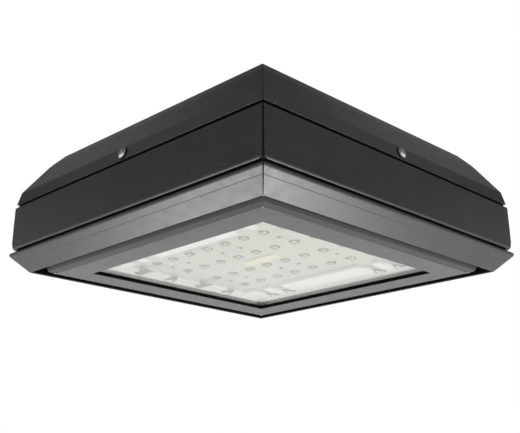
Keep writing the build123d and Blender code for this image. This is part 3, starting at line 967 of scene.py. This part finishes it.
UNTURNED = (0.0, 0.0, 0.0)


def grid_spots(columns, rows, height):
    """Spots at every crossing of columns and rows."""
    return [(place(x, y, height), UNTURNED) for x in columns for y in rows]


def wall_spots(out):
    """Spots on the cover's leaning wall, one in the middle of each side, some way out of it."""
    run = COVER_BOTTOM[0] - COVER_CREASE[0]
    climb = COVER_CREASE[1] - COVER_BOTTOM[1]
    lean = math.atan2(run, climb)
    half = COVER_BOTTOM[0] - run * (SCREW_LEVEL - COVER_BOTTOM[1]) / climb
    point = place(half + out * math.cos(lean), 0.0, SCREW_LEVEL + out * math.sin(lean))
    spots = []
    for side in range(4):
        turn = math.radians(90 * side)
        spots.append((Matrix.Rotation(turn, 3, "Z") @ point, (0.0, math.radians(90) - lean, turn)))
    return spots


def make_cover_screws():
    """Flanged button head screws with hex sockets, on rubber washers."""
    washer = 1.5
    socket, socket_floor, socket_mouth = 2.3, 0.9, 2.5
    shank, shank_end = 3.0, -14.0
    dome = [(2.7, 2.7), (3.2, 2.68), (4.0, 2.45), (4.8, 1.9), (5.3, 1.2), (5.6, 0.95)]
    flange = [(7.05, 0.75), (7.35, 0.5), (7.35, 0.1), (7.25, 0.0)]
    rings = [(0, socket_floor), (socket, socket_floor, HEXAGON), (socket, socket_mouth, HEXAGON)]
    rings += dome + flange + [(shank, 0.0), (shank, shank_end), (0, shank_end)]
    bm = bmesh.new()
    lathe(bm, rings)
    spots = wall_spots(washer)
    repeated("side_screws", bm, [STAINLESS], spots, "housing", ["cover_screws"])

    bore = 3.05
    rim = [(7.6, 0.0), (7.8, 0.3), (7.8, 1.2), (7.55, washer)]
    bm = bmesh.new()
    lathe(bm, [(bore, 0.0)] + rim + [(bore, washer)], closed=True)
    spots = wall_spots(0.0)
    repeated("side_washers", bm, [SEAL_RUBBER], spots, "housing", ["sealing_washers"])


def make_optics():
    """Clear domes under the LEDs, each in a dark moulded ring."""
    radius = 6.3
    ball = 7.0
    drop = 5.2
    centre = ball - drop
    dome = [(0, centre - ball)]
    for share in (0.2, 0.4, 0.6, 0.75, 0.88, 1.0):
        reach = radius * share
        dome.append((reach, centre - math.sqrt(ball * ball - reach * reach)))
    pocket = [(2.6, 0.0), (2.2, -1.0), (0, -1.2)]
    inside, outside = 6.35, 7.55
    collar = [(inside, -1.6), (6.7, -1.9), (7.4, -1.9), (outside, -1.6), (outside, 0.0), (inside, 0.0)]
    bm = bmesh.new()
    lathe(bm, dome + [(radius, 0.0)] + pocket)
    lathe(bm, collar, closed=True, finish=1)
    spots = grid_spots(LED_COLUMNS, LED_ROWS, BOARD_LEVEL)
    repeated("optic_domes", bm, [ACRYLIC, OPTIC_RING], spots, "housing", ["led_optics"])


def make_rivets():
    """Domed rivets that hold the reflector."""
    head = [(0, -1.0), (1.5, -0.95), (2.4, -0.7), (2.9, -0.3), (3.0, 0.0)]
    shank, shank_end = 1.6, 6.5
    bm = bmesh.new()
    lathe(bm, head + [(shank, 0.0), (shank, shank_end), (0, shank_end)], steps=32)
    spots = grid_spots(RIVET_COLUMNS, (-RIVET_ROW, RIVET_ROW), FIELD_LEVEL)
    repeated("reflector_rivets", bm, [DARK_RIVET_AND_SHADE], spots, "housing", ["tray_rivets"])


def make_cove():
    """White cove that leads the reflector's border down to the glass."""
    inset = 1.3
    foot = 10.4
    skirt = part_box("reflector_tray")[1].x / MM - inset
    top = BORDER_LEVEL - 0.1
    corner = 1.0
    slope = [(skirt - 0.8, 13.4), (skirt - 2.6, 16.0), (skirt - 5.8, top)]
    bm = bmesh.new()
    sweep(bm, with_corner([(skirt, foot)] + slope + [(skirt, top)], lambda z: corner))
    outward(bm)
    piece("reflector_cove", bm, [SHADE_PAINTED_ENAMEL], "housing", [])


def block(bm, low, high):
    """Box between two corners in millimetres."""
    made = bmesh.ops.create_cube(bm, size=1.0)["verts"]
    first, last = place(*low), place(*high)
    for vertex in made:
        share = vertex.co + Vector((0.5, 0.5, 0.5))
        vertex.co = Vector(first[i] + share[i] * (last[i] - first[i]) for i in range(3))


def make_trough_shade_plates():
    """Dark plates on the reflector's border, at two rows on either side: painted shade that stands for the
    shadows at the trough ends.
    """
    plate_start, foot_start, plate_end = 140.0, 166.0, 171.0
    plate_half_width, foot_half_width = 5.0, 8.0
    plate_low, plate_high = BORDER_LEVEL - 2.0, BORDER_LEVEL - 1.2
    foot_high = BORDER_LEVEL + 0.2
    edge = 0.3
    bm = bmesh.new()
    for side in (-1, 1):
        plate = sorted((side * plate_start, side * plate_end))
        foot = sorted((side * foot_start, side * plate_end))
        for row in (-OUTER_ROW, INNER_ROW):
            block(
                bm,
                (plate[0], row - plate_half_width, plate_low),
                (plate[1], row + plate_half_width, plate_high),
            )
            block(
                bm,
                (foot[0], row - foot_half_width, plate_high),
                (foot[1], row + foot_half_width, foot_high),
            )
    bmesh.ops.bevel(
        bm,
        geom=bm.edges[:],
        offset=edge * MM,
        offset_type="OFFSET",
        segments=2,
        profile=0.5,
        affect="EDGES",
    )
    bmesh.ops.recalc_face_normals(bm, faces=bm.faces)
    piece("reflector_clips", bm, [DARK_RIVET_AND_SHADE], "housing", [])


def make_trough_shade_wires():
    """V shaped dark wires at the reflector's darts and beside two rows: painted shade that stands for the
    shaded outlines of the trough ends.
    """
    radius = 1.1
    spread = 8.5
    height = BORDER_LEVEL - 1.0
    dart_root, dart_tip = 138.0, 158.0
    row_root, row_tip = 151.0, 171.0
    paths = []
    for side in (-1, 1):
        tip, root = side * dart_tip, side * dart_root
        for x in LED_COLUMNS[:2] + LED_COLUMNS[-2:]:
            paths.append([(x - spread, tip, height), (x, root, height), (x + spread, tip, height)])
        tip, root = side * row_tip, side * row_root
        for y in (-INNER_ROW, OUTER_ROW):
            paths.append([(tip, y - spread, height), (root, y, height), (tip, y + spread, height)])
    curve = bpy.data.curves.new("spring_wires", "CURVE")
    curve.dimensions = "3D"
    curve.bevel_depth = radius * MM
    curve.bevel_resolution = 3
    curve.use_fill_caps = True
    for path in paths:
        spline = curve.splines.new("POLY")
        spline.points.add(len(path) - 1)
        for point, target in zip(spline.points, path):
            point.co = (*place(*target), 1.0)
    carrier = bpy.data.objects.new("spring_wires_path", curve)
    bpy.context.scene.collection.objects.link(carrier)
    depsgraph = bpy.context.evaluated_depsgraph_get()
    mesh = bpy.data.meshes.new_from_object(carrier.evaluated_get(depsgraph), depsgraph=depsgraph)
    bpy.data.objects.remove(carrier)
    bm = bmesh.new()
    bm.from_mesh(mesh)
    outward(bm)
    piece("spring_wires", bm, [DARK_RIVET_AND_SHADE], "housing", [])


def make_corner_welds():
    """Small bright weld beads at the lower corners of the trim and of the lens frame."""
    bead = [(0, -0.9), (0.6, -0.65), (0.9, 0.0), (0.6, 0.65), (0, 0.9)]
    trim_corner = (TRIM_BOTTOM[0] - 0.4, TRIM_BOTTOM[1] + 0.7)
    frame_corner = (FRAME_FACE_HALF - 0.3, 0.6)
    bm = bmesh.new()
    lathe(bm, bead, steps=16)
    spots = []
    for reach, height in (trim_corner, frame_corner):
        spots += grid_spots((-reach, reach), (-reach, reach), height)
    repeated("corner_welds", bm, [STAINLESS], spots, "door", [])


def soften_nodes():
    """Rounds the edges of the CAD nodes that stay as they are."""
    least_fold = math.radians(50)
    touching = 0.001 * MM
    rounds = {
        "reflector_tray": 0.9,
        "connector_cover": 0.9,
        "hinge_leaves_fixed": 0.5,
        "hinge_leaves_door": 0.5,
        "hinge_pins": 0.5,
        "captive_screw_left": 0.4,
        "captive_screw_right": 0.4,
        "lens_clips": 0.3,
        "clip_nuts": 0.3,
        "cover_brackets": 0.4,
        "terminal_block": 0.4,
        "gear_bridge": 0.5,
    }
    for name, width in rounds.items():
        thing = frame["nodes"][name]
        weld = thing.modifiers.new("weld", "WELD")
        weld.merge_threshold = touching
        bevel = thing.modifiers.new("soft_edges", "BEVEL")
        bevel.width = width * MM
        bevel.segments = 3
        bevel.limit_method = "ANGLE"
        bevel.angle_limit = least_fold
        bevel.harden_normals = True


make_cover()
make_band()
make_trim()
make_lens_frame()
make_cover_seal()
make_door_seal()
make_lens_seal()
make_pane()
make_cover_screws()
make_optics()
make_rivets()
make_cove()
make_trough_shade_plates()
make_trough_shade_wires()
make_corner_welds()
soften_nodes()


# Finishes of the nodes that stay as they are

FINISHES = {
    "galvanised_steel": ZINC,
    "stainless_steel": STAINLESS,
    "black_rubber": SEAL_RUBBER,
    "white_reflector": SHADE_PAINTED_ENAMEL,
    "cream_plastic": CREAM_NYLON,
    "board_white": SOLDER_MASK,
    "led_phosphor": PHOSPHOR,
    "clear_optic": ACRYLIC,
    "bare_aluminium": MILL_ALUMINIUM,
    "grey_plastic": GREY_ABS,
    "wire_insulation": BLACK_PVC,
    "tempered_glass": GLASS,
    "bronze_powder_coat": DARK_COAT,
}


def dress_nodes():
    """Gives every CAD node the finish of its slot."""
    for part in frame["record"]["subparts"]:
        thing = frame["nodes"][part["node"]]
        thing.data.materials.clear()
        thing.data.materials.append(FINISHES[part["material_slot"]])


dress_nodes()


# Camera, from the photo's vanishing lines: looking up at the near corner

PHOTO_WIDTH = 520
PHOTO_HEIGHT = 433
CAMERA_TARGET = Vector((0.0, 0.0, -0.0978))
CAMERA_DISTANCE = 1.2779
CAMERA_AZIMUTH = math.radians(44.7321)
CAMERA_ELEVATION = math.radians(-17.8433)
CAMERA_ROLL = math.radians(-0.1728)
FOCAL_PIXELS = 888.38
PRINCIPAL_POINT = (261.775, 219.388)
SENSOR = 36.0


def make_camera():
    """Camera at the photo's viewing angle."""
    data = bpy.data.cameras.new("camera")
    data.sensor_width = SENSOR
    data.lens = FOCAL_PIXELS * SENSOR / PHOTO_WIDTH
    data.shift_x = (PHOTO_WIDTH / 2 - PRINCIPAL_POINT[0]) / PHOTO_WIDTH
    data.shift_y = (PRINCIPAL_POINT[1] - PHOTO_HEIGHT / 2) / PHOTO_WIDTH
    data.clip_start = 0.01
    thing = bpy.data.objects.new("camera", data)
    bpy.context.scene.collection.objects.link(thing)
    level_reach = math.cos(CAMERA_ELEVATION)
    back = Vector((
        math.sin(CAMERA_AZIMUTH) * level_reach,
        -math.cos(CAMERA_AZIMUTH) * level_reach,
        math.sin(CAMERA_ELEVATION),
    ))
    right = Vector((math.cos(CAMERA_AZIMUTH), math.sin(CAMERA_AZIMUTH), 0.0))
    up = back.cross(right)
    turn = Matrix((right, up, back)).transposed()
    turn = turn @ Matrix.Rotation(CAMERA_ROLL, 3, "Z")
    thing.matrix_world = Matrix.Translation(CAMERA_TARGET + CAMERA_DISTANCE * back) @ turn.to_4x4()
    bpy.context.scene.camera = thing


make_camera()


# Lights and the studio round the light, in metres

FLOOR_LEVEL = -2.6
CEILING_LEVEL = 1.0


def make_world():
    """White studio: plain white to the eye, to gloss and through glass, and softer as a light."""
    ambient = 0.5
    world = bpy.data.worlds.new("studio")
    bpy.context.scene.world = world
    world.use_nodes = True
    tree = world.node_tree
    tree.nodes.clear()
    seen = any_ray(tree, "Is Camera Ray", "Is Glossy Ray", "Is Transmission Ray")
    strength = add(tree, "ShaderNodeMapRange", {"Value": seen, "To Min": ambient, "To Max": 1.0})
    background = add(
        tree,
        "ShaderNodeBackground",
        {"Color": WHITE, "Strength": strength.outputs["Result"]},
    )
    add(tree, "ShaderNodeOutputWorld", {"Surface": background.outputs["Background"]})


def softbox(name, position, target, size, radiance):
    """Area lamp of a given brightness that points at a target."""
    data = bpy.data.lights.new(name, "AREA")
    data.shape = "RECTANGLE"
    data.size, data.size_y = size
    data.energy = radiance * math.pi * size[0] * size[1]
    lamp = bpy.data.objects.new(name, data)
    bpy.context.scene.collection.objects.link(lamp)
    place_at = Vector(position)
    aim = (Vector(target) - place_at).to_track_quat("-Z", "Y")
    lamp.matrix_world = Matrix.Translation(place_at) @ aim.to_matrix().to_4x4()
    lamp.visible_camera = False
    return lamp


def make_lamps():
    """Two low softboxes, left and right of the camera, a faint one below and a broad one above."""
    softbox(
        "left_softbox",
        position=(-0.86, -0.832, -1.155),
        target=(0.1, -0.24, -0.16),
        size=(0.6, 0.4),
        radiance=7.5,
    )
    softbox(
        "right_softbox",
        position=(0.832, 0.62, -1.155),
        target=(0.24, -0.1, -0.16),
        size=(0.6, 0.4),
        radiance=10.0,
    )
    below = softbox(
        "floor_softbox",
        position=(0.0, 0.0, -1.3),
        target=(0.0, 0.01, 0.0),
        size=(0.8, 0.8),
        radiance=0.6,
    )
    above = softbox(
        "top_softbox",
        position=(0.0, 0.0, 0.95),
        target=(0.0, 0.01, -0.12),
        size=(0.9, 0.9),
        radiance=2.0,
    )
    below.visible_glossy = False
    above.visible_glossy = False


def studio_sheet(name, height, material):
    """Wide level sheet at a height, with one material."""
    reach = 6.0
    bm = bmesh.new()
    corners = [(-reach, -reach), (reach, -reach), (reach, reach), (-reach, reach)]
    bm.faces.new([bm.verts.new((x, y, height)) for x, y in corners])
    sheet = plain_object(name, bm, [material])
    return sheet


def floor_paper():
    """Pale backdrop paper that takes shadows, and looks plain white to gloss and through glass."""
    material, tree, coordinates = new_material("floor_paper")
    tone = shaded(tree, blotches(tree, coordinates, size=400.0), "#e4e4e2", "#e9e9e7")
    paper = add(tree, "ShaderNodeBsdfDiffuse", {"Color": tone})
    white = add(tree, "ShaderNodeEmission", {"Color": WHITE, "Strength": 1.0})
    seen = any_ray(tree, "Is Glossy Ray", "Is Transmission Ray")
    mix = add(
        tree,
        "ShaderNodeMixShader",
        {0: seen, 1: paper.outputs["BSDF"], 2: white.outputs["Emission"]},
    )
    add(tree, "ShaderNodeOutputMaterial", {"Surface": mix.outputs["Shader"]})
    return material


def reflection_glow_rings():
    """Glow of the ceiling, which is no lamp and shows only in reflections: painted reflection, brighter
    and darker in rings round the light, each at its radius in metres.
    """
    reach = 5.0
    glow_by_radius = {0.6: 0.0, 0.9: 0.01, 1.15: 0.07, 1.6: 0.26, 2.1: 0.24, 2.7: 0.04, 3.3: 0.1, 4.8: 0.4}
    material, tree, coordinates = new_material("reflection_glow_rings")
    away = add(tree, "ShaderNodeVectorMath", {0: coordinates}, operation="LENGTH").outputs["Value"]
    share = add(tree, "ShaderNodeMapRange", {"Value": away, "From Max": reach}).outputs["Result"]
    rings = add(tree, "ShaderNodeValToRGB", {"Fac": share})
    stops = rings.color_ramp.elements
    stops.remove(stops[1])
    for number, (radius, tone) in enumerate(glow_by_radius.items()):
        stop = stops[0] if number == 0 else stops.new(radius / reach)
        stop.position = radius / reach
        stop.color = (tone, tone, tone, 1.0)
    glow = add(tree, "ShaderNodeEmission", {"Color": rings.outputs["Color"], "Strength": 1.0})
    add(tree, "ShaderNodeOutputMaterial", {"Surface": glow.outputs["Emission"]})
    return material


def make_studio():
    """Pale floor, and a dark ceiling that only reflections show, glowing in rings as painted reflection.
    """
    studio_sheet("floor", FLOOR_LEVEL, floor_paper())
    ceiling = studio_sheet("dark_ceiling", CEILING_LEVEL, reflection_glow_rings())
    ceiling.visible_camera = False
    ceiling.visible_diffuse = False
    ceiling.visible_transmission = False
    ceiling.visible_shadow = False


make_world()
make_lamps()
make_studio()
